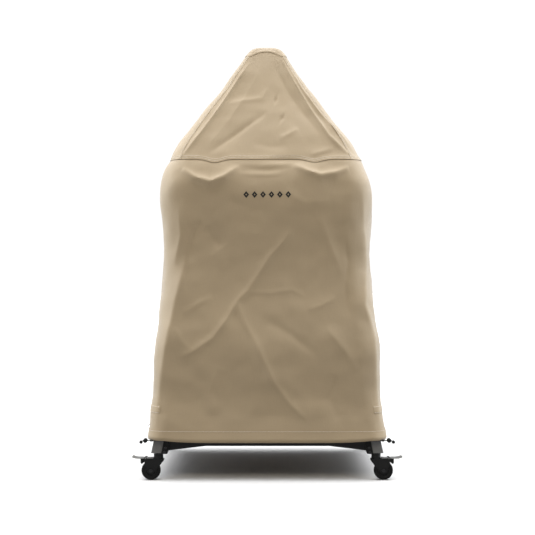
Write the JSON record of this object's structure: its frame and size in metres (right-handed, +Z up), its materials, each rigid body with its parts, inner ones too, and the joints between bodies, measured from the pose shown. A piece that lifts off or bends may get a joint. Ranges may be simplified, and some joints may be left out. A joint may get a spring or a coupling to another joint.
{
  "type": "grill cover",
  "caption": "Tall tent-shaped fabric cover with a drawcord hem, fitted over a domed outdoor oven on a wheeled stand.",
  "frame": {"origin": "on the floor under the middle of the stand", "axes": "+Z up, front towards -Y, +X to the right seen from the front"},
  "size_m": [0.992, 0.752, 1.649],
  "materials": {
    "canvas": "woven coated canvas, matt",
    "canvas_webbing": "woven band sewn flat, matt",
    "black_webbing": "flat polyester webbing",
    "black_plastic": "moulded, fine grain",
    "spring_steel": "drawn wire",
    "black_cord": "braided elastic cord",
    "blackened_brass": "blackened",
    "frame_paint": "charcoal powder coat, satin",
    "zinc_steel": "black zinc plate",
    "oiled_wood": "oiled",
    "oven_paint": "heat-proof matt paint",
    "caster_steel": "black pressed steel",
    "hub_plastic": "black nylon",
    "tyre": "solid rubber tread",
    "pedal_steel": "zinc-plated pressing"
  },
  "bodies": {
    "stand": {"bracket_bolts": "zinc_steel", "caster_stems": "zinc_steel", "corner_brackets": "frame_paint", "leg_front_left": "frame_paint", "leg_front_right": "frame_paint", "leg_rear_left": "frame_paint", "leg_rear_right": "frame_paint", "leg_top_plates": "frame_paint", "oven_base": "oven_paint", "oven_dome": "oven_paint", "oven_flue": "oven_paint", "rail_front": "frame_paint", "rail_left": "frame_paint", "rail_rear": "frame_paint", "rail_right": "frame_paint", "table_top": "oiled_wood"},
    "cover": {"cap_panel": "canvas", "cord_end_knobs": "black_plastic", "cord_eyelets": "blackened_brass", "cord_lock_left": "black_plastic", "cord_lock_right": "black_plastic", "cord_lock_spring_left": "spring_steel", "cord_lock_spring_right": "spring_steel", "hem_band": "canvas", "hem_drawcord": "black_cord", "roof_back_panel": "canvas", "roof_front_panel": "canvas", "roof_left_panel": "canvas", "roof_right_panel": "canvas", "side_strap_left": "canvas_webbing", "side_strap_right": "canvas_webbing", "skirt_back_panel": "canvas", "skirt_front_panel": "canvas", "skirt_left_panel": "canvas", "skirt_right_panel": "canvas", "strap_buckles": "black_plastic", "strap_tails": "black_webbing"},
    "fork_front_left": {"axle_front_left": "zinc_steel", "caster_fork_front_left": "caster_steel"},
    "wheel_front_left": {"tyre_front_left": "tyre", "wheel_hub_front_left": "hub_plastic"},
    "fork_front_right": {"axle_front_right": "zinc_steel", "caster_fork_front_right": "caster_steel"},
    "wheel_front_right": {"tyre_front_right": "tyre", "wheel_hub_front_right": "hub_plastic"},
    "fork_rear_left": {"axle_rear_left": "zinc_steel", "caster_fork_rear_left": "caster_steel"},
    "wheel_rear_left": {"tyre_rear_left": "tyre", "wheel_hub_rear_left": "hub_plastic"},
    "fork_rear_right": {"axle_rear_right": "zinc_steel", "caster_fork_rear_right": "caster_steel"},
    "wheel_rear_right": {"tyre_rear_right": "tyre", "wheel_hub_rear_right": "hub_plastic"},
    "pedal_front_left": {"brake_pedal_front_left": "pedal_steel", "brake_shoe_front_left": "black_plastic"},
    "pedal_front_right": {"brake_pedal_front_right": "pedal_steel", "brake_shoe_front_right": "black_plastic"},
    "button_left": {"cord_lock_button_left": "black_plastic"},
    "button_right": {"cord_lock_button_right": "black_plastic"}
  },
  "joints": [
    {"name": "cover_lift", "type": "slide", "parent": "stand", "child": "cover", "axis": [0, 0, 1], "range_m": [0, 1.55]},
    {"name": "swivel_front_left", "type": "hinge", "parent": "stand", "child": "fork_front_left", "pos_m": [-0.4, -0.335, 0.085], "axis": [0, 0, 1], "continuous": true},
    {"name": "wheel_spin_front_left", "type": "hinge", "parent": "fork_front_left", "child": "wheel_front_left", "pos_m": [-0.427, -0.335, 0.035], "axis": [0, 1, 0], "continuous": true},
    {"name": "brake_front_left", "type": "hinge", "parent": "fork_front_left", "child": "pedal_front_left", "pos_m": [-0.446, -0.335, 0.08], "axis": [0, -1, 0], "range_deg": [0, 8], "stiffness_Nm_per_rad": 0.6, "springref_deg": -5.73},
    {"name": "swivel_front_right", "type": "hinge", "parent": "stand", "child": "fork_front_right", "pos_m": [0.4, -0.335, 0.085], "axis": [0, 0, 1], "continuous": true},
    {"name": "wheel_spin_front_right", "type": "hinge", "parent": "fork_front_right", "child": "wheel_front_right", "pos_m": [0.427, -0.335, 0.035], "axis": [0, 1, 0], "continuous": true},
    {"name": "brake_front_right", "type": "hinge", "parent": "fork_front_right", "child": "pedal_front_right", "pos_m": [0.446, -0.335, 0.08], "axis": [0, 1, 0], "range_deg": [0, 8], "stiffness_Nm_per_rad": 0.6, "springref_deg": -5.73},
    {"name": "swivel_rear_left", "type": "hinge", "parent": "stand", "child": "fork_rear_left", "pos_m": [-0.4, 0.335, 0.085], "axis": [0, 0, 1], "continuous": true},
    {"name": "wheel_spin_rear_left", "type": "hinge", "parent": "fork_rear_left", "child": "wheel_rear_left", "pos_m": [-0.427, 0.335, 0.035], "axis": [0, 1, 0], "continuous": true},
    {"name": "swivel_rear_right", "type": "hinge", "parent": "stand", "child": "fork_rear_right", "pos_m": [0.4, 0.335, 0.085], "axis": [0, 0, 1], "continuous": true},
    {"name": "wheel_spin_rear_right", "type": "hinge", "parent": "fork_rear_right", "child": "wheel_rear_right", "pos_m": [0.427, 0.335, 0.035], "axis": [0, 1, 0], "continuous": true},
    {"name": "lock_press_left", "type": "slide", "parent": "cover", "child": "button_left", "axis": [0, 1, 0], "range_m": [0, 0.004], "stiffness_N_per_m": 400, "springref_m": -0.002, "deforming": ["cord_lock_spring_left"]},
    {"name": "lock_press_right", "type": "slide", "parent": "cover", "child": "button_right", "axis": [0, 1, 0], "range_m": [0, 0.004], "stiffness_N_per_m": 400, "springref_m": -0.002, "deforming": ["cord_lock_spring_right"]}
  ]
}
